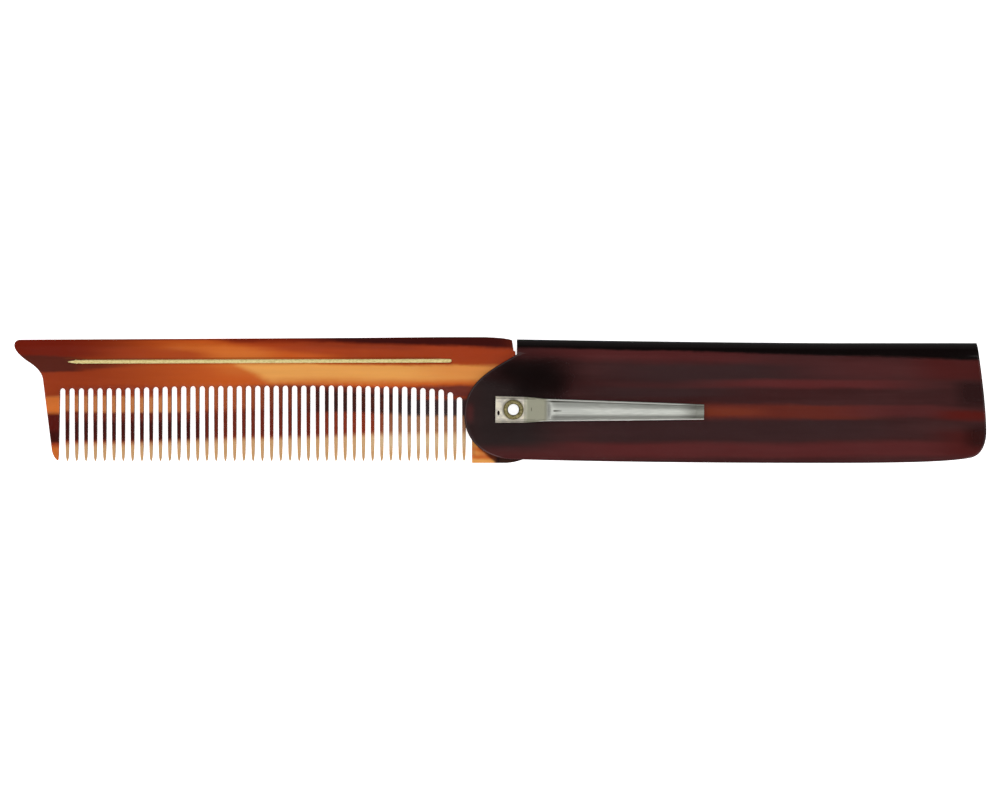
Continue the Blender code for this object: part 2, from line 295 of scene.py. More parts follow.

# Streaks and lines, each over the ones before it, in the part's own frame; the lines are painted shade,
# and the rows marked below paint shade and light
BLADE_STREAKS = (
    # colour, x from, x to, fade, y there, y there, half width there, half width there, softness, strength
    (ORANGE, -68, -20, 18, 7.0, 7.0, 7.0, 7.0, 3.0, 1.0),
    (CHERRY, -115, -78, 12, 10.6, 10.6, 2.9, 2.2, 0.9, 1.0),
    (RUST, -78, -57, 5, 9.4, 9.0, 0.9, 0.9, 0.7, 0.5),
    (FLAME, -66, -50, 4, 10.8, 9.6, 0.4, 1.0, 0.6, 0.5),
    (UMBER, -98, -84, 2, 7.4, 7.15, 1.9, 1.25, 0.35, 0.95),
    (UMBER, -87, -76, 7, 7.1, 6.9, 1.1, 0.4, 0.4, 0.85),
    (FLAME, -58, -46, 4, 8.6, 8.6, 2.0, 1.6, 1.2, 0.9),
    (FLAME, -56, -46, 3, 6.2, 5.6, 1.4, 1.0, 1.0, 0.6),
    (AMBER, -53.7, -37.5, 2, 7.5, 3.4, 0.0, 4.0, 1.0, 1.0),
    (AMBER, -40, 8, 3, 5.2, 4.9, 2.0, 1.9, 0.4, 1.0),
    (ORANGE, -15, 6, 6, 6.4, 6.0, 1.9, 1.9, 1.0, 0.35),
    (RUST, -56, -26, 3, 13.05, 11.1, 1.45, 3.4, 0.9, 0.9),
    (RUST, -27, 4, 2, 10.0, 9.6, 2.4, 2.6, 0.5, 0.9),
    (BRICK, -40, -16, 5, 11.4, 10.4, 0.6, 0.7, 0.7, 0.6),
    (ORANGE, -46, -2, 3, 2.9, 2.9, 1.0, 1.0, 0.9, 0.9),
    (CHERRY, -56, -24, 5, 12.3, 12.3, 0.75, 0.75, 0.4, 0.85),
    (MAROON, -38, 6, 7, 12.35, 11.45, 0.55, 1.25, 0.5, 1.0),
    (BRICK, -88, -62, 2, 2.0, 2.0, 0.8, 0.8, 0.6, 0.7),
    (SAND, -88, -62, 6, -0.9, -0.9, 1.7, 1.7, 0.4, 0.85),
    (RUSSET, -64, -32, 5, 0.4, 0.6, 2.6, 2.4, 0.7, 0.85),
    (PLUM, -42, -3, 5, 1.9, 1.6, 0.8, 1.2, 0.4, 0.9),
    (LIVER, -49, -30, 4, 0.1, 0.0, 2.7, 2.6, 0.8, 0.75),
    (LIVER, -96, -58, 2, -4.4, -4.4, 2.0, 2.0, 0.4, 0.95),
    (MAROON, -96, -58, 2, -6.4, -6.0, 2.1, 2.0, 0.7, 0.95),
    (GARNET, -96, -87.6, 0.3, -4.4, -4.4, 2.0, 2.0, 0.6, 0.95),
    (LIVER, -60, -30, 2, -5.2, -3.7, 2.6, 3.4, 1.0, 0.9),
    (BRICK, -36, -14, 3, -4.4, -4.2, 2.6, 2.4, 0.5, 0.9),
    (HAZEL, -22, -3, 4, -4.9, -4.7, 2.6, 2.2, 0.8, 0.9),
    (INK, -38, -16, 3, -0.4, -0.8, 2.2, 2.0, 0.5, 0.85),
    (SLATE, -20, -3, 3, -1.4, -1.5, 1.7, 1.6, 0.5, 0.95),
    # painted light: paler tooth tips, where light shines through the thin acetate
    (TAN, -87.5, -6.4, 0.4, -11.6, -10.1, 2.5, 3.7, 0.8, 0.95),
    (BISCUIT, -26, -6.4, 5, -8.4, -8.4, 1.3, 1.3, 0.9, 0.85),
    (FLAME, -96, -87.6, 0.3, -1.2, -1.2, 1.6, 1.6, 0.5, 0.95),
    (MAROON, -96, -87.6, 0.3, -7.7, -7.7, 1.2, 1.2, 0.5, 0.95),
    (SCORCH, -96, -87.6, 0.3, -9.5, -9.5, 0.5, 0.5, 0.4, 0.7),
    (FLAME, -96, -87.6, 0.3, -11.7, -11.7, 2.1, 2.1, 0.6, 0.85),
    (AMBER, -6.2, 6, 0.3, -10.0, -10.0, 3.0, 3.0, 0.5, 1.0),
    (SHADE, -5.9, -4.9, 0.3, -8.6, -8.6, 2.6, 2.6, 0.4, 0.35),
    (ORANGE, -5.8, 6, 0.8, -11.3, -11.5, 0.4, 0.6, 0.4, 0.85),
    (ORANGE, -5.4, 6, 1.6, -9.8, -11.2, 0.6, 1.6, 0.6, 0.9),
    (MAROON, -4.2, 0, 0.4, -9.5, -11.7, 0.3, 1.5, 0.4, 0.9),
    # painted shadow below the rim of the handle's hub
    (INK, -2.4, 12, 0.9, -10.2, -11.4, 0.3, 2.2, 0.35, 0.97),
    (INK, -0.9, 12, 0.6, -12.3, -12.3, 1.0, 1.0, 0.4, 0.97),
)

# painted shade: a shadow line along the groove above the gold line, and a darker line along the rounded
# top edge
BLADE_SHADE_LINES = (
    (SHADE, -87, -12, 1, 8.28, 8.5, 0.1, 0.1, 0.14, 0.75),
    (CHERRY, -98, -36, 6, 11.95, 12.25, 0.16, 0.14, 0.16, 0.7),
)

HANDLE_STREAKS = (
    (CLARET, 5, 52, 9, 9.2, 8.7, 1.0, 1.3, 0.7, 0.6),
    (CHARCOAL, 22, 66, 12, 5.6, 5.4, 1.7, 1.7, 0.8, 0.8),
    (CLARET, 44, 82, 12, 3.4, 3.2, 0.8, 0.9, 0.5, 0.9),
    (CHARCOAL, 18, 46, 8, 1.6, 1.4, 1.2, 1.0, 0.5, 0.7),
    (CLARET, 60, 99, 12, 6.2, 6.6, 1.8, 1.6, 1.2, 0.35),
    (EMBER, 36, 74, 8, -2.4, -2.5, 1.7, 1.4, 0.5, 0.75),
    (CLARET, 68, 92, 6, -2.0, -2.4, 1.2, 1.0, 0.45, 0.6),
    (CINDER, 39, 52, 4, -2.4, -2.4, 0.9, 0.8, 0.5, 0.75),
    (GARNET, 88, 99, 4, -3.0, -3.2, 0.8, 0.8, 0.5, 0.9),
    (CHARCOAL, 10, 80, 14, -6.0, -6.0, 2.4, 2.0, 0.8, 0.7),
    (CLARET, 12, 96, 14, -10.2, -9.8, 1.6, 1.5, 0.7, 0.8),
    (WINE, 88, 99, 5, -8.6, -8.6, 2.6, 2.6, 1.2, 0.7),
    (WINE, 84, 104, 5, 6.4, 6.0, 2.2, 2.0, 0.8, 0.6),
    (BLOOD, 91.5, 104, 2.2, 1.2, 1.2, 2.4, 2.4, 1.0, 0.5),
    (BLOOD, 93, 104, 2.2, -7.4, -7.0, 2.2, 2.8, 1.2, 0.55),
    # painted shade: the hub darker where the blade inside the handle holds back the light from below
    (HUB_SHADE, -8, 10, 6, -2.0, -3.5, 7.5, 6.0, 1.6, 0.85),
    # painted shade, these three rows: darker where the blade's spine end lies inside the handle and holds
    # back the light from below
    (BLOOD, -3, 14, 5.5, 6.6, 5.6, 2.6, 3.0, 2.2, 0.9),
    (BLOOD, 1, 12, 5.0, 4.8, 4.4, 2.0, 2.4, 1.8, 0.75),
    (BLOOD, 3.2, 13, 2.2, 2.4, 2.2, 2.2, 2.2, 1.6, 0.75),
    (CLARET, -6.6, -5.4, 0.7, -2.6, -2.6, 1.6, 1.6, 0.9, 0.5),
    (CLARET, -7, 12, 3, -11.2, -11.8, 1.6, 1.2, 1.0, 0.35),
    # painted shade: a near-black band along the fold at the handle's top
    (FOLD_SHADE, 1, 99, 0.6, 11.9, 10.2, 1.3, 2.3, 0.4, 1.0),
)

# Painted shade and highlights on the steel, x along the clip from the pivot and y as a share of the way to
# the lips
# shade at the ramp's bend, the arm's root, flanks, gutters and tip, at small creases and inside the base's
# lips; a painted highlight on the lower lip
STEEL_SHADE_AND_HIGHLIGHTS = (
    # painted shade over the arm's tip, where it bends up
    (TIP_SHADE, 35, 44, 2.5, 0, 0, 2, 2, 0.1, 0.75),
    # painted shade at the ramp's bend
    (RAMP_SHADE, 2.1, 3.0, 0.12, 0, 0, 2, 2, 0.1, 0.75),
    (STEEL_SHADE, 6.3, 7.3, 0.3, 0, 0, 0.95, 0.95, 0.1, 0.42),
    (STEEL_SHADE, 7.2, 9.0, 0.5, 0, 0, 0.9, 0.9, 0.15, 0.1),
    (STEEL_SHADE, 7.4, 44, 1.0, -0.76, -0.76, 0.24, 0.24, 0.22, 0.6),
    (STEEL_SHADE, 7.4, 44, 1.0, 0.62, 0.62, 0.32, 0.32, 0.2, 0.26),
    (STEEL_SHADE, 6.9, 13, 1.2, 0.88, 0.9, 0.09, 0.03, 0.05, 0.95),
    (STEEL_SHADE, 11, 44, 3, 0.9, 0.9, 0.05, 0.05, 0.06, 0.9),
    (STEEL_SHADE, 24, 44, 6, 0.7, 0.7, 0.28, 0.28, 0.2, 0.2),
    # painted highlight along the lower lip, then painted shade along the upper lip
    (WHITE, 5.4, 44, 0.6, -1.6, -1.6, 0.52, 0.52, 0.04, 1.0),
    (STEEL_SHADE, 5.4, 44, 0.6, 1.6, 1.6, 0.52, 0.52, 0.04, 0.25),
    (STEEL_SHADE, 7.95, 9.6, 0.25, -0.08, -0.08, 0.09, 0.03, 0.04, 0.95),
    (STEEL_SHADE, -4, 2.9, 0.3, 1.24, 1.24, 0.18, 0.18, 0.08, 0.4),
    (STEEL_SHADE, -4, 2.9, 0.3, -1.26, -1.26, 0.2, 0.2, 0.1, 0.25),
    (STEEL_SHADE, 3.5, 3.66, 0.06, 0.05, 0.05, 0.17, 0.17, 0.1, 0.7),
    (STEEL_SHADE, -3.3, 4.4, 0.3, 1.07, 1.07, 0.025, 0.025, 0.04, 0.7),
    (STEEL_SHADE, -3.3, 4.4, 0.3, -0.96, -0.96, 0.02, 0.02, 0.04, 0.55),
    (STEEL_SHADE, -3.3, 4.4, 0.3, -1.17, -1.17, 0.02, 0.02, 0.04, 0.55),
)

# Noise: how rough it is, the middle of its values, and the range that holds nearly all of them
NOISE_ROUGHNESS = 0.55
NOISE_CORE = (0.35, 0.65)
NOISE_SPAN = (0.3, 0.7)

# Acetate: scales are the sizes of the noise's features along X, Y and Z
SWAY_SCALES = (22, 2.6, 2.0)
SWAY = 1.6
FRAY_SCALES = (1.4, 1.2, 1.2)
FRAY = 0.25
CLOUD_SCALES = (30, 3.0, 3.0)
GRAIN_SCALES = (14, 0.9, 0.9)
GRAIN_TONES = (0.95, 1.05)
POLISH_SCALES = (6, 4, 4)
ACETATE_ROUGHNESS = (0.088, 0.143)
ACETATE_IOR = 1.48
ACETATE_SPECULAR = 0.45
WAVE_SCALES = (12, 7, 7)
WAVE_DEPTH = 0.02

# Steel, its starts in millimetres along the clip, but LIP_START as a share of the way to the lips
RAMP_START = (2.55, 2.8)
ARM_START = (6.2, 7.2)
LIP_SPREAD = (6, 38, 2.0, 1.28)
LIP_START = (1.02, 1.1)
SHEEN_AND_WEAR_SCALES = (1.1, 0.8, 0.8)
BRUSH_SCALES = (16, 0.14, 0.14)
BRUSH_TONES = (0.84, 1.06)
BRUSH_DEPTH = 0.006
RIVET_SHADE = 0.4
RIVET_SHADE_CENTRE = (-0.2, 0.14, 0)
RIVET_SHADE_RADII = (2.3, 1.95)
STEEL_METALLIC = 0.85
STEEL_ROUGHNESS = (0.34, 0.42)
LIP_ROUGHNESS = 0.25

# Brass, foil and floor, with linear colours
BRASS_DARK = (0.15, 0.13, 0.05, 1)
BRASS_LIGHT = (0.42, 0.36, 0.17, 1)
BRASS_SCALES = (0.3, 0.3, 0.3)
BRASS_METALLIC = 0.9
BRASS_ROUGHNESS = (0.5, 0.32)
BRASS_DEPTH = 0.02
FOIL_DARK = (0.6, 0.47, 0.18, 1)
FOIL_LIGHT = (0.8, 0.68, 0.31, 1)
FOIL_SCALES = (0.5, 0.25, 0.25)
FOIL_SPECKS = (0.3, 0.6)
FOIL_METALLIC = 0.5
FOIL_ROUGHNESS = 0.38
FOIL_DEPTH = 0.005
FLOOR_DARK = (0.93, 0.93, 0.93, 1)
FLOOR_LIGHT = (0.95, 0.95, 0.95, 1)
FLOOR_SCALES = (60, 60, 60)
FLOOR_ROUGHNESS = 0.8
FLOOR_SPECULAR = 0.2
FLOOR_GLOW = 0.78

# Studio: places are parts of the direction looked in, but floor and overhead light are in metres
FLOOR_SIZE = 8
PANEL_INNER_EDGE = (0.14, 0.24)
PANEL_FALL = (0.2, 0.85, 1, 0)
PANEL_FALL_POWER = 3.0
PANEL_PEAK = 2.5
PANEL_BASE = 0.35
FAR_FLAG = (0.1, 0.9, 1.0, 0.3)
NEAR_FLAG = (-0.9, -0.1, 0.75, 1.0)
HORIZON = (-0.1, 0.1)
LOW_WALL_TOP = (0.42, 0.22)
LOW_WALL = 0.1
AMBIENT = 0.05
OVERHEAD_HEIGHT = 1.6
OVERHEAD_SIZE = 0.6
OVERHEAD_BRIGHTNESS = 0.515


def seen(colour):
    """A colour from 0 to 255 as the linear red, green and blue that a shader takes."""
    def linear(part):
        share = part / 255
        return share / 12.92 if share <= 0.04045 else ((share + 0.055) / 1.055) ** 2.4
    return (*(linear(part) for part in colour), 1)


class Graph:
    """A node tree to add nodes to. A value is a socket, a number or a colour."""

    def __init__(self, tree):
        self.tree = tree

    def put(self, kind, *values, **settings):
        """Adds a node with its settings, gives its inputs in order, and returns it."""
        node = self.tree.nodes.new("ShaderNode" + kind)
        for name, value in settings.items():
            setattr(node, name, value)
        for place, value in zip([socket for socket in node.inputs if socket.enabled], values):
            self.give(place, value)
        return node

    def give(self, place, value):
        if isinstance(value, bpy.types.NodeSocket):
            self.tree.links.new(value, place)
        else:
            place.default_value = value

    def set(self, name, value):
        """Gives an input of the surface's own shader."""
        self.give(self.tree.nodes["Principled BSDF"].inputs[name], value)

    def math(self, operation, *values):
        return self.put("Math", *values, operation=operation).outputs[0]

    def plus(self, first, second):
        return self.math("ADD", first, second)

    def minus(self, first, second):
        return self.math("SUBTRACT", first, second)

    def times(self, first, second):
        return self.math("MULTIPLY", first, second)

    def line(self, value, low, high, start, end):
        """A value from start to end as another goes from low to high, and level outside."""
        return self.put("MapRange", value, low, high, start, end, clamp=True).outputs[0]

    def step(self, value, low, high):
        """From 0 to 1 as a value goes from low to high, soft at both ends."""
        return self.put("MapRange", value, low, high, 0, 1, interpolation_type="SMOOTHSTEP").outputs[0]

    def mix(self, share, first, second, how="MIX"):
        node = self.put("Mix", share, first, second, data_type="RGBA", blend_type=how)
        return next(socket for socket in node.outputs if socket.enabled)

    def vector(self, operation, *values):
        return self.put("VectorMath", *values, operation=operation).outputs[0]

    def split(self, vector):
        """X, Y and Z of a vector."""
        return self.put("SeparateXYZ", vector).outputs

    def grey(self, tone):
        return self.put("CombineXYZ", tone, tone, tone).outputs[0]

    def places(self):
        """X, Y and Z in millimetres, as one vector."""
        return self.vector("MULTIPLY", self.put("TexCoord").outputs["Object"], (1 / MM,) * 3)

    def noise(self, where, scales, seed, detail=3.0):
        """Noise from 0 to 1 whose features are scales across, in millimetres."""
        spots = self.vector("MULTIPLY", where, tuple(1 / scale for scale in scales))
        node = self.put("TexNoise", noise_dimensions="4D")
        self.give(node.inputs["Vector"], spots)
        self.give(node.inputs["W"], seed)
        self.give(node.inputs["Scale"], 1.0)
        self.give(node.inputs["Detail"], detail)
        self.give(node.inputs["Roughness"], NOISE_ROUGHNESS)
        return node.outputs["Fac"]

    def bump(self, height, distance):
        """Raises the surface by up to a distance in millimetres."""
        node = self.put("Bump")
        self.give(node.inputs["Height"], height)
        self.give(node.inputs["Distance"], distance * MM)
        self.set("Normal", node.outputs["Normal"])


def surface(name):
    """A new material, and the graph of its nodes."""
    material = bpy.data.materials.new(name)
    material.use_nodes = True
    return material, Graph(material.node_tree)


def streaked(graph, colour, x, y, rows):
    """Lays streaks over a colour, each with soft sides and ends."""
    for tint, start, end, fade, y_start, y_end, half_start, half_end, soft, strength in rows:
        centre = graph.line(x, start, end, y_start, y_end)
        half = graph.line(x, start, end, half_start, half_end)
        off = graph.math("ABSOLUTE", graph.minus(y, centre))
        across = graph.step(graph.minus(half, off), -soft, soft)
        begun = graph.step(x, start - fade, start + fade)
        over = graph.step(x, end - fade, end + fade)
        along = graph.times(begun, graph.minus(1, over))
        share = graph.times(graph.times(across, along), strength)
        colour = graph.mix(share, colour, seen(tint))
    return colour


def acetate(name, base_colours, streaks, shade_lines=()):
    """Polished sheet acetate: soft streaks that run along X and sway, and straight lines of painted shade
    over them.
    """
    material, graph = surface(name)
    where = graph.places()
    x, y = graph.split(where)[:2]
    sway = graph.minus(graph.noise(where, SWAY_SCALES, seed=3), 0.5)
    fray = graph.minus(graph.noise(where, FRAY_SCALES, seed=5, detail=1), 0.5)
    wander = graph.plus(graph.times(sway, SWAY), graph.times(fray, FRAY))
    cloud = graph.step(graph.noise(where, CLOUD_SCALES, seed=8), *NOISE_CORE)
    colour = graph.mix(cloud, *(seen(base) for base in base_colours))
    colour = streaked(graph, colour, x, graph.plus(y, wander), streaks)
    colour = streaked(graph, colour, x, y, shade_lines)
    grain = graph.line(graph.noise(where, GRAIN_SCALES, seed=11, detail=4), *NOISE_SPAN, *GRAIN_TONES)
    graph.set("Base Color", graph.mix(1.0, colour, graph.grey(grain), "MULTIPLY"))
    polish = graph.noise(where, POLISH_SCALES, seed=14, detail=4)
    graph.set("Roughness", graph.line(polish, *NOISE_SPAN, *ACETATE_ROUGHNESS))
    graph.set("IOR", ACETATE_IOR)
    graph.set("Specular IOR Level", ACETATE_SPECULAR)
    graph.bump(graph.noise(where, WAVE_SCALES, seed=17, detail=2), WAVE_DEPTH)
    return material


def blade_acetate():
    return acetate("amber_acetate", (MAHOGANY, CHESTNUT), BLADE_STREAKS, BLADE_SHADE_LINES)


def handle_acetate():
    return acetate("dark_acetate", (OXBLOOD, MULBERRY), HANDLE_STREAKS)


def steel():
    """Nickel-bright strip: patchy cream over the base, partly wear and partly painted reflection, painted
    shade on the ramp, and drawn along the arm with painted shade and highlights.
    """
    material, graph = surface("bright_steel")
    where = graph.places()
    pivot = (PIVOT_X, PIVOT_Y, 0)
    turned = graph.put("VectorRotate", where, pivot, (0, 0, 1), -CLIP_TURN).outputs[0]
    level = graph.vector("SUBTRACT", turned, pivot)
    along, side = graph.split(level)[:2]
    to_lip = graph.math("DIVIDE", side, graph.line(along, *LIP_SPREAD))
    ramp_start = graph.step(along, *RAMP_START)
    arm_start = graph.step(along, *ARM_START)
    # patchy cream over the base: partly wear, partly painted reflection
    cream_sheen_and_wear = graph.noise(where, SHEEN_AND_WEAR_SCALES, seed=22, detail=4)
    colour = graph.mix(graph.step(cream_sheen_and_wear, *NOISE_CORE), seen(CREAM), seen(IVORY))
    beside = graph.vector("SUBTRACT", level, RIVET_SHADE_CENTRE)
    flat = graph.vector("MULTIPLY", beside, (1, 1, 0))
    reach = graph.put("VectorMath", flat, operation="LENGTH").outputs["Value"]
    shade = graph.times(graph.step(reach, *RIVET_SHADE_RADII), RIVET_SHADE)
    colour = graph.mix(shade, colour, seen(STEEL_SHADE))
    # painted shade: the ramp darker than the base and the arm
    colour = graph.mix(ramp_start, colour, seen(RAMP_SHADE))
    colour = graph.mix(arm_start, colour, seen(NICKEL))
    # painted shade and highlights along the base, ramp and arm
    colour = streaked(graph, colour, along, to_lip, STEEL_SHADE_AND_HIGHLIGHTS)
    brush = graph.noise(where, BRUSH_SCALES, seed=21)
    drawn = graph.mix(arm_start, (1, 1, 1, 1), graph.grey(graph.line(brush, *NOISE_CORE, *BRUSH_TONES)))
    graph.set("Base Color", graph.mix(1.0, colour, drawn, "MULTIPLY"))
    graph.set("Metallic", STEEL_METALLIC)
    lip = graph.step(graph.math("ABSOLUTE", to_lip), *LIP_START)
    satin = graph.line(brush, *NOISE_SPAN, *STEEL_ROUGHNESS)
    graph.set("Roughness", graph.plus(satin, graph.times(lip, LIP_ROUGHNESS)))
    graph.bump(graph.times(brush, arm_start), BRUSH_DEPTH)
    return material


def brass():
    material, graph = surface("old_brass")
    mottle = graph.step(graph.noise(graph.places(), BRASS_SCALES, seed=31, detail=5), *NOISE_SPAN)
    graph.set("Base Color", graph.mix(mottle, BRASS_DARK, BRASS_LIGHT))
    graph.set("Metallic", BRASS_METALLIC)
    graph.set("Roughness", graph.line(mottle, 0, 1, *BRASS_ROUGHNESS))
    graph.bump(mottle, BRASS_DEPTH)
    return material


def gold():
    material, graph = surface("gold_leaf")
    speck = graph.noise(graph.places(), FOIL_SCALES, seed=41, detail=4)
    graph.set("Base Color", graph.mix(graph.step(speck, *FOIL_SPECKS), FOIL_DARK, FOIL_LIGHT))
    graph.set("Metallic", FOIL_METALLIC)
    graph.set("Roughness", FOIL_ROUGHNESS)
    graph.bump(speck, FOIL_DEPTH)
    return material


def floor_paint():
    material, graph = surface("floor_paint")
    tone = graph.noise(graph.places(), FLOOR_SCALES, seed=51)
    graph.set("Base Color", graph.mix(tone, FLOOR_DARK, FLOOR_LIGHT))
    graph.set("Roughness", FLOOR_ROUGHNESS)
    graph.set("Specular IOR Level", FLOOR_SPECULAR)
    graph.set("Emission Color", (1, 1, 1, 1))
    graph.set("Emission Strength", FLOOR_GLOW)
    return material


def traced(start, *segments):
    """Points of an outline: a segment is (end,) for a line or (handle, handle, end) for a curve."""
    points = [Vector(start)]
    for *handles, end in segments:
        if handles:
            knots = [points[-1], *(Vector(handle) for handle in handles), Vector(end)]
            points += interpolate_bezier(*knots, CURVE_STEPS + 1)[1:]
        else:
            points.append(Vector(end))
    return points


def arc(centre, radius, start, end, steps):
    """Points on a circle from one angle to another, in radians, both ends included."""
    points = []
    for step in range(steps + 1):
        angle = start + (end - start) * step / steps
        points.append(Vector((centre[0] + radius * cos(angle), centre[1] + radius * sin(angle))))
    return points


def evaluated_mesh(thing):
    """A new mesh of an object as its curve or modifiers leave it."""
    return bpy.data.meshes.new_from_object(thing.evaluated_get(bpy.context.evaluated_depsgraph_get()))


def linked(name, data):
    """A new object in the scene."""
    thing = bpy.data.objects.new(name, data)
    bpy.context.scene.collection.objects.link(thing)
    return thing


def plate(outline, thickness, rim=0.0, rim_steps=0):
    """A flat closed bmesh of one outline, centred on z = 0, its rim rounded over a width."""
    curve = bpy.data.curves.new("outline", "CURVE")
    curve.dimensions = "2D"
    curve.fill_mode = "BOTH"
    curve.extrude = thickness / 2 - rim
    curve.bevel_depth = rim
    curve.bevel_resolution = rim_steps
    curve.offset = -rim
    spline = curve.splines.new("POLY")
    spline.points.add(len(outline) - 1)
    for knot, point in zip(spline.points, outline):
        knot.co = (point[0], point[1], 0, 1)
    spline.use_cyclic_u = True
    holder = linked("outline", curve)
    mesh = evaluated_mesh(holder)
    bpy.data.objects.remove(holder)
    bm = bmesh.new()
    bm.from_mesh(mesh)
    bmesh.ops.remove_doubles(bm, verts=bm.verts, dist=MERGE)
    bmesh.ops.recalc_face_normals(bm, faces=bm.faces)
    level = [edge for edge in bm.edges if all(abs(face.normal.z) > LEVEL for face in edge.link_faces)]
    bmesh.ops.dissolve_limit(bm, angle_limit=FLAT_ANGLE, edges=level)
    return bm


def sliced(bm, axis, levels):
    """Adds edges where the mesh crosses each level along one axis."""
    normal = Vector((0, 0, 0))
    normal[axis] = 1
    for level in levels:
        everything = bm.verts[:] + bm.edges[:] + bm.faces[:]
        bmesh.ops.bisect_plane(bm, geom=everything, dist=MERGE, plane_co=normal * level, plane_no=normal)


def moved(bm, height=0.0):
    """Moves a bmesh made about the pivot to its place in the part."""
    bmesh.ops.translate(bm, vec=(PIVOT_X, PIVOT_Y, height), verts=bm.verts)
    return bm


def oval_bar(radii, centre, low, high):
    """A closed upright bar, its centre given about the pivot, between two heights."""
    bm = bmesh.new()
    bmesh.ops.create_cone(bm, cap_ends=True, segments=BAR_STEPS, radius1=1, radius2=1, depth=high - low)
    bmesh.ops.scale(bm, vec=(*radii, 1), verts=bm.verts)
    bmesh.ops.translate(bm, vec=(*centre, (low + high) / 2), verts=bm.verts)
    return moved(bm)


def pivot_bar(width, low, high):
    return oval_bar((width / 2, width / 2), (0, 0), low, high)


def lofted(rings):
    """A closed skin through rings of points, capped at both ends."""
    bm = bmesh.new()
    loops = [[bm.verts.new(point) for point in ring] for ring in rings]
    for near, far in zip(loops, loops[1:]):
        skin(bm, near, far)
    bm.faces.new(loops[0])
    bm.faces.new(loops[-1])
    return bm


def skin(bm, near, far):
    """Faces between two closed loops of as many corners."""
    for corner in range(len(near)):
        after = (corner + 1) % len(near)
        bm.faces.new((near[corner], near[after], far[after], far[corner]))


def to_metres(bm, name):
    """A new mesh from a bmesh in millimetres, which is used up."""
    bmesh.ops.scale(bm, vec=(MM, MM, MM), verts=bm.verts)
    mesh = bpy.data.meshes.new(name)
    bm.to_mesh(mesh)
    bm.free()
    return mesh


def smoothed(mesh, sharp):
    """Shades a mesh smooth but for edges over an angle in degrees."""
    mesh.shade_smooth()
    mesh.set_sharp_from_angle(angle=radians(sharp))


def finished(name, bm, body, node, material, sharp=SHARP):
    """A new piece from a bmesh in millimetres, which rides on a body and stands for a CAD node."""
    bmesh.ops.recalc_face_normals(bm, faces=bm.faces)
    mesh = to_metres(bm, name)
    smoothed(mesh, sharp)
    mesh.materials.append(material)
    piece = linked(name, mesh)
    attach(piece, body)
    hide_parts(node)
    return piece


def cut(piece, bm, sharp=SHARP, operation="DIFFERENCE"):
    """Cuts a piece with a bmesh in millimetres, for good, and shades it anew."""
    cutter = linked("cutter", to_metres(bm, "cutter"))
    modifier = piece.modifiers.new("cut", "BOOLEAN")
    modifier.operation = operation
    modifier.object = cutter
    modifier.solver = "EXACT"
    mesh = evaluated_mesh(piece)
    smoothed(mesh, sharp)
    piece.modifiers.clear()
    piece.data = mesh
    bpy.data.objects.remove(cutter)


def even_shading(piece):
    modifier = piece.modifiers.new("even_shading", "WEIGHTED_NORMAL")
    modifier.keep_sharp = True
    modifier.weight = SHADING_WEIGHT


def tooth_centre(tooth):
    """Even steps from the first tooth to the last, bowed a little towards the hub in the middle."""
    share = tooth / (TEETH - 1)
    return FIRST_TOOTH + (LAST_TOOTH - FIRST_TOOTH) * share + TOOTH_BOW * sin(pi * share)


def gap_root(gap):
    """The round top of a gap, from its right wall to its left."""
    left = tooth_centre(gap - 1) + TOOTH_ROOT_HALF if gap > 0 else GUARD_INNER_X
    right = tooth_centre(gap) - TOOTH_ROOT_HALF if gap < TEETH else HEEL_LEFT_X
    radius = (right - left) / 2
    height = np.interp(gap, *zip(*GAP_TOPS)) - radius
    return arc(((left + right) / 2, height), radius, 0, pi, GAP_STEPS)


def tooth_sides(tooth):
    """A tooth below its root, down its right side to the tip and up its left."""
    centre = tooth_centre(tooth)
    down = [Vector((centre + half, height)) for half, height in TOOTH_SHAPE]
    up = [Vector((centre - half, height)) for half, height in reversed(TOOTH_SHAPE)]
    return [*down, Vector((centre, TOOTH_TIP)), *up]


def blade_outline():
    """The blade seen from the front, clockwise from the heel's lower left corner."""
    points = [Vector((HEEL_LEFT_X, HEEL_BOTTOM))]
    for gap in range(TEETH, 0, -1):
        points += gap_root(gap) + tooth_sides(gap - 1)
    points += gap_root(0)
    guard_and_nose = traced(
        (-90.98, -8.9),
        ((-91.02, -9.7),),
        ((-91.08, -10.05), (-91.12, -10.2), (-91.22, -10.2)),
        ((-91.6, -10.0), (-92.15, -9.3), (-92.38, -8.18)),
        ((-94.1, 5.82),),
        ((-94.29, 7.5), (-95.56, 8.58), (-96.8, 9.42)),
        ((-98.16, 10.24), (-NOSE_REACH, 11.7), (-NOSE_REACH, 12.85)),
        ((-NOSE_REACH, 13.6), (-99.4, 14.0), (-98.5, 14.0)),
        ((-60.0, 14.2),),
        ((-30.0, 14.38),),
    )
    top_and_end = traced(
        (-14.6, SPINE_TOP),
        ((-6.6, SPINE_TOP),),
        ((-4.0, SPINE_TOP), (-0.4, 14.25), (-0.24, 13.8)),
        ((0.02, 11.82),),
        ((SPINE_END_X - GAP, 11.6),),
    )
    hub_start = pi / 2 - (SPINE_END_X - GAP) / HUB_RADIUS
    hub = arc((0, 0), HUB_RADIUS, hub_start, HUB_END, HUB_STEPS)
    heel = traced(hub[-1], ((1.0, -10.3), (-0.2, HEEL_BOTTOM), (-1.6, HEEL_BOTTOM)))
    return points + guard_and_nose + top_and_end + hub + heel[1:]


def blade_thickness(x, y):
    """The share of full thickness: less over the top edge and towards the tooth tips."""
    if x < HEEL_LEFT_X - TOOTH_ROOT_HALF and y < TAPER_TOP:
        return np.interp(y, (TOOTH_TIP, TAPER_TOP), (TIP_THICKNESS / BLADE_THICKNESS, 1))
    return 1 - CROWN_LOSS * max(0, 1 - (SPINE_TOP - y) / CROWN_DEPTH) ** 2


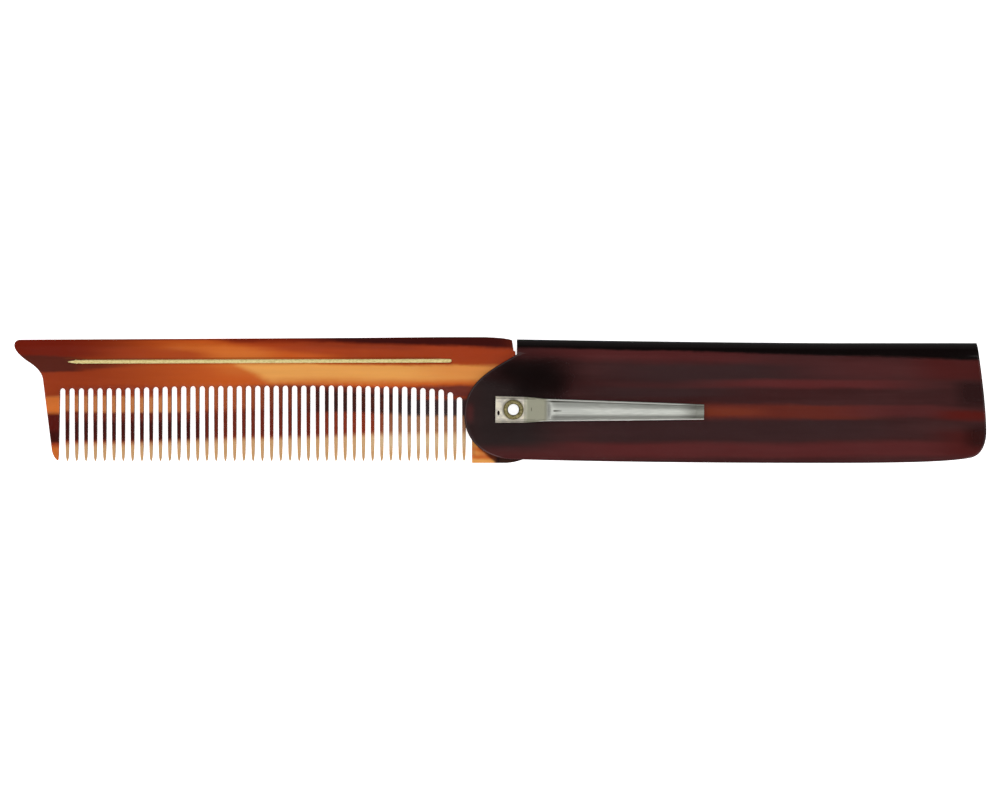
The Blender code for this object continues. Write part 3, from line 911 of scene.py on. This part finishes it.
def line_directions():
    """The gold line's own direction, towards the hub, and the one across it, towards the spine."""
    along = (LINE_END - LINE_START).normalized()
    return along, Vector((-along.y, along.x))


def groove_outline():
    """The groove that the gold line lies in, pointed at the nose end and round at the other."""
    half = LINE_WIDTH / 2 + GROOVE_GAP
    along, across = line_directions()
    start = LINE_START - along * GROOVE_GAP
    shoulder = start + along * LINE_POINT
    turn = np.arctan2(along.y, along.x)
    end = arc(LINE_END - along * LINE_WIDTH / 2, half, turn - pi / 2, turn + pi / 2, GROOVE_STEPS)
    return [start, shoulder - across * half, *end, shoulder + across * half]


def build_blade(material):
    bm = plate(blade_outline(), BLADE_THICKNESS, BLADE_RIM, BLADE_RIM_STEPS)
    sliced(bm, 1, [TAPER_TOP - TAPER_SLICE, TAPER_TOP, TAPER_TOP + TAPER_SLICE])
    levels = range(1, CROWN_LEVELS + 1)
    sliced(bm, 1, [SPINE_TOP - CROWN_DEPTH * level / CROWN_LEVELS for level in levels])
    for vertex in bm.verts:
        vertex.co.z *= blade_thickness(vertex.co.x, vertex.co.y)
    blade = finished("blade", moved(bm, MIDDLE), "comb", "comb_blade", material)
    cut(blade, pivot_bar(PIVOT_HOLE, 0, 2 * MIDDLE))
    groove = plate(groove_outline(), 2 * GROOVE_DEPTH)
    bmesh.ops.translate(groove, vec=(0, 0, MIDDLE + BLADE_THICKNESS / 2), verts=groove.verts)
    cut(blade, groove)
    even_shading(blade)


def build_gold_line(material):
    """Gold foil pressed into the groove, frayed at the nose end."""
    random = Random(11)
    along, across = line_directions()
    length = (LINE_END - LINE_START).length
    rings = []
    for step in range(LINE_STEPS + 1):
        reach = length * step / LINE_STEPS
        ragged = 1.0 if reach < FOIL_FRAYED else FOIL_CALM
        from_end = min(1, (length - reach) / (LINE_WIDTH / 2))
        opening = FOIL_FIRST_WIDTH + (1 - FOIL_FIRST_WIDTH) * (reach / LINE_POINT)
        closing = FOIL_LAST_WIDTH + (1 - FOIL_LAST_WIDTH) * sin(from_end * pi / 2)
        half = LINE_WIDTH / 2 * min(1, opening, closing)
        upper = half + ragged * random.uniform(*FOIL_TEAR)
        lower = -half - ragged * random.uniform(*FOIL_TEAR)
        middle = LINE_START + along * reach + across * (FOIL_OFFSET + FOIL_DRIFT * step / LINE_STEPS)
        ring = [(lower, LINE_LOW), (lower, LINE_TOP - FOIL_RIM), (lower + FOIL_RIM, LINE_TOP)]
        ring += [(upper - FOIL_RIM, LINE_TOP), (upper, LINE_TOP - FOIL_RIM), (upper, LINE_LOW)]
        rings.append([(*(middle + across * side), height) for side, height in ring])
    finished("gold_line", lofted(rings), "comb", "spine_line", material, FOIL_SHARP)


def handle_section():
    """The folded sheet cut across, as (height, depth) about the middle of the slot."""
    low = HEEL_BOTTOM - 2 * OVERRUN
    half = HANDLE_THICKNESS / 2
    slot = SLOT_WIDTH / 2
    fold = FOLD_TOP - FOLD_RADIUS
    inner = SLOT_TOP - SLOT_FILLET
    return [
        Vector((low, -half)),
        *arc((fold, FOLD_RADIUS - half), FOLD_RADIUS, -pi / 2, 0, FOLD_STEPS),
        *arc((fold, half - FOLD_RADIUS), FOLD_RADIUS, 0, pi / 2, FOLD_STEPS),
        Vector((low, half)),
        Vector((low, slot)),
        *arc((inner, slot - SLOT_FILLET), SLOT_FILLET, pi / 2, 0, FILLET_STEPS),
        *arc((inner, SLOT_FILLET - slot), SLOT_FILLET, 0, -pi / 2, FILLET_STEPS),
        Vector((low, -slot)),
    ]


def handle_outline():
    """The handle seen from the front, anticlockwise from above the spine's pivot end."""
    above = SPINE_TOP + 2 * OVERRUN
    return traced(
        (SPINE_END_X, above),
        ((SPINE_END_X, SLOT_TOP - NOTCH_DROP),),
        ((-0.4, 10.4),),
        ((-5.19, 7.7), (HUB_LEFT, 5.0), (HUB_LEFT, -1.0)),
        ((HUB_LEFT, -6.4), (-5.7, -9.93), (0.3, -9.93)),
        ((20.0, -10.5), (42.0, HEEL_BOTTOM), (63.0, HEEL_BOTTOM)),
        ((77.0, HEEL_BOTTOM), (87.4, -10.5), (91.5, -9.6)),
        ((93.5, -9.15), (HANDLE_REACH, -6.9), (HANDLE_REACH, -4.4)),
        ((HANDLE_REACH, 0.5), (93.35, 8.9), (92.7, 13.2)),
        ((92.7, above),),
    )


def raise_fold(bm):
    """The fold's top falls away from the pivot end along a shallow curve, and the slot stays straight."""
    low = FOLD_TOP - FOLD_RADIUS
    for vertex in bm.verts:
        x, y, z = vertex.co
        in_slot = abs(z) < SLOT_WIDTH / 2 + TOUCH and y < SLOT_TOP + TOUCH
        if in_slot or y < low:
            continue
        rise = FOLD_RISE * max(0, 1 - max(0, x) / FOLD_RISE_END) ** FOLD_RISE_POWER
        vertex.co.y = low + (y - low) * (1 + rise / FOLD_RADIUS)


def build_handle(material):
    bm = plate(handle_section(), 2 * (HANDLE_REACH + OVERRUN))
    bm.transform(SECTION_TO_X)
    sliced(bm, 0, np.arange(0, HANDLE_REACH, SLICE))
    raise_fold(bm)
    handle = finished("handle_sheet", moved(bm, MIDDLE), "grip", "handle", material)
    outline = plate(handle_outline(), HANDLE_THICKNESS + 2 * HANDLE_PROUD, HANDLE_RIM, HANDLE_RIM_STEPS)
    cut(handle, moved(outline, MIDDLE), operation="INTERSECT")
    cut(handle, pivot_bar(PIVOT_HOLE, -OVERRUN, 2 * MIDDLE + OVERRUN))
    cut(handle, pivot_bar(FLANGE_POCKET, -OVERRUN, FLANGE_POCKET_TOP))
    even_shading(handle)


def clip_path():
    """The clip from the side, as (distance, lift): base, ramp, and arm down to its raised tip."""
    corners = [Vector((along, lift)) for along, lift, bend in CLIP_CORNERS]
    bends = [bend for along, lift, bend in CLIP_CORNERS]
    path = [corners[0]]
    for before, here, after, bend in zip(corners, corners[1:], corners[2:], bends[1:]):
        start = here + (before - here).normalized() * bend
        end = here + (after - here).normalized() * bend
        path += interpolate_bezier(start, start.lerp(here, 2 / 3), end.lerp(here, 2 / 3), end, BEND_STEPS)
    return path + [corners[-1]]


def clip_ring(along, lift):
    """The clip's cross section at a distance: a crowned top between two beads, each with a skirt below."""
    half = np.interp(along, *zip(*CLIP_WIDTHS))
    crown = np.interp(along, *zip(*CLIP_CROWN))
    inner = half - CLIP_BEAD
    top = []
    for side in np.linspace(-inner, inner, CROWN_STEPS):
        top.append((side, lift + crown * (1 - (side / inner) ** 2)))
    bead = [(inner + CLIP_BEAD * out, lift + rise) for out, rise in BEAD_SECTION]
    bead_left = [(-side, height) for side, height in reversed(bead)]
    sheet_low, lip_low = lift - CLIP_THICKNESS, lift - CLIP_THICKNESS - CLIP_LIP
    skirt = [(half, lip_low), (half - CLIP_SKIRT, lip_low), (half - CLIP_SKIRT, sheet_low)]
    skirt_left = [(-side, height) for side, height in reversed(skirt)]
    under = [(side * CLIP_UNDER_WIDTH, height - CLIP_THICKNESS) for side, height in reversed(top[2:-2])]
    ring = bead_left + top[1:-1] + bead + skirt + under + skirt_left
    return [(along, side, height) for side, height in ring]


def build_clip(material):
    path = clip_path()
    distances, lifts = [point.x for point in path], [point.y for point in path]
    stops = sorted({*distances, *range(*ARM_STOPS)})
    bm = lofted([clip_ring(along, np.interp(along, distances, lifts)) for along in stops])
    bmesh.ops.rotate(bm, matrix=Matrix.Rotation(CLIP_TURN, 3, "Z"), verts=bm.verts)
    moved(bm, CLIP_TOP)
    clip = finished("clip", bm, "grip", "pocket_clip", material, CLIP_SHARP)
    cut(clip, pivot_bar(PIVOT_HOLE, CLIP_TOP - 2 * OVERRUN, CLIP_TOP + 2 * OVERRUN), CLIP_SHARP)
    pit = oval_bar(CLIP_PIT_RADII, CLIP_PIT, CLIP_TOP - 2 * OVERRUN, CLIP_TOP + OVERRUN)
    cut(clip, pit, CLIP_SHARP)


def build_eyelet(material):
    """The brass rivet: a tube whose ends are rolled over by hand tools, so not quite evenly."""
    bore, spread = BORE / 2, (FLANGE - BORE) / 2
    upper = [(bore + spread * out, EYELET_TOP + FLANGE_HEIGHT * rise, 1) for out, rise in ROLLED_FLANGE]
    lower = [(bore + spread * out, EYELET_LOW - FLANGE_HEIGHT * rise, 1) for out, rise in ROLLED_FLANGE]
    section = [*upper, (TUBE / 2, EYELET_TOP, 0), (TUBE / 2, EYELET_LOW, 0), *reversed(lower)]
    random = Random(7)
    phases = [random.uniform(0, 2 * pi) for wave in range(EYELET_WAVES)]
    bm = bmesh.new()
    loops = []
    for step in range(EYELET_STEPS):
        turn = 2 * pi * step / EYELET_STEPS
        waves = (sin(wave * turn + phase) / wave for wave, phase in enumerate(phases, 2))
        waver = EYELET_WAVER * sum(waves)
        loop = []
        for radius, height, rolled in section:
            reach = radius + waver * rolled * (radius - bore) / spread
            place = (PIVOT_X + reach * cos(turn), PIVOT_Y + reach * sin(turn), height)
            loop.append(bm.verts.new(place))
        loops.append(loop)
    for near, far in zip(loops, loops[1:] + loops[:1]):
        skin(bm, near, far)
    finished("eyelet", bm, "grip", "pivot_eyelet", material)


def build_floor():
    bpy.ops.mesh.primitive_plane_add(size=FLOOR_SIZE, location=(0, 0, 0))
    floor = bpy.context.object
    floor.name = "floor"
    floor.data.materials.append(floor_paint())
    floor.visible_glossy = False


def build_world():
    """A studio that the gloss sees: two bright ceiling panels, left and right, and dark between them."""
    world = bpy.data.worlds.new("studio")
    bpy.context.scene.world = world
    world.use_nodes = True
    graph = Graph(world.node_tree)
    x, y, z = graph.split(graph.put("TexCoord").outputs["Generated"])
    aside = graph.math("ABSOLUTE", x)
    fall = graph.math("POWER", graph.line(aside, *PANEL_FALL), PANEL_FALL_POWER)
    brightness = graph.plus(graph.times(fall, PANEL_PEAK), PANEL_BASE)
    panels = graph.times(brightness, graph.step(aside, *PANEL_INNER_EDGE))
    flags = graph.math("MINIMUM", graph.line(y, *FAR_FLAG), graph.line(y, *NEAR_FLAG))
    panels = graph.times(panels, graph.times(flags, graph.step(z, *HORIZON)))
    low_wall = graph.times(graph.step(z, *LOW_WALL_TOP), LOW_WALL)
    tone = graph.plus(graph.math("MAXIMUM", panels, low_wall), AMBIENT)
    graph.give(world.node_tree.nodes["Background"].inputs["Color"], graph.grey(tone))


def add_overhead():
    """A soft light straight above that only lights, so that no gloss shows it."""
    lamp = bpy.data.lights.new("overhead", "AREA")
    lamp.size = OVERHEAD_SIZE
    lamp.energy = OVERHEAD_BRIGHTNESS * (pi * OVERHEAD_HEIGHT) ** 2
    holder = linked("overhead", lamp)
    holder.location = (0, 0, OVERHEAD_HEIGHT)
    holder.visible_glossy = False


def build_camera():
    lens = bpy.data.cameras.new("camera")
    lens.sensor_width = SENSOR
    lens.lens = SENSOR * (CAMERA_HEIGHT - SCALE_HEIGHT) / FRAME_WIDTH
    lens.clip_start = NEAREST * MM
    camera = linked("camera", lens)
    camera.location = (0, 0, CAMERA_HEIGHT * MM)
    bpy.context.scene.camera = camera


bpy.context.scene.view_settings.view_transform = "Standard"
build_camera()
build_world()
build_floor()
add_overhead()

build_blade(blade_acetate())
build_gold_line(gold())
build_handle(handle_acetate())
build_clip(steel())
build_eyelet(brass())
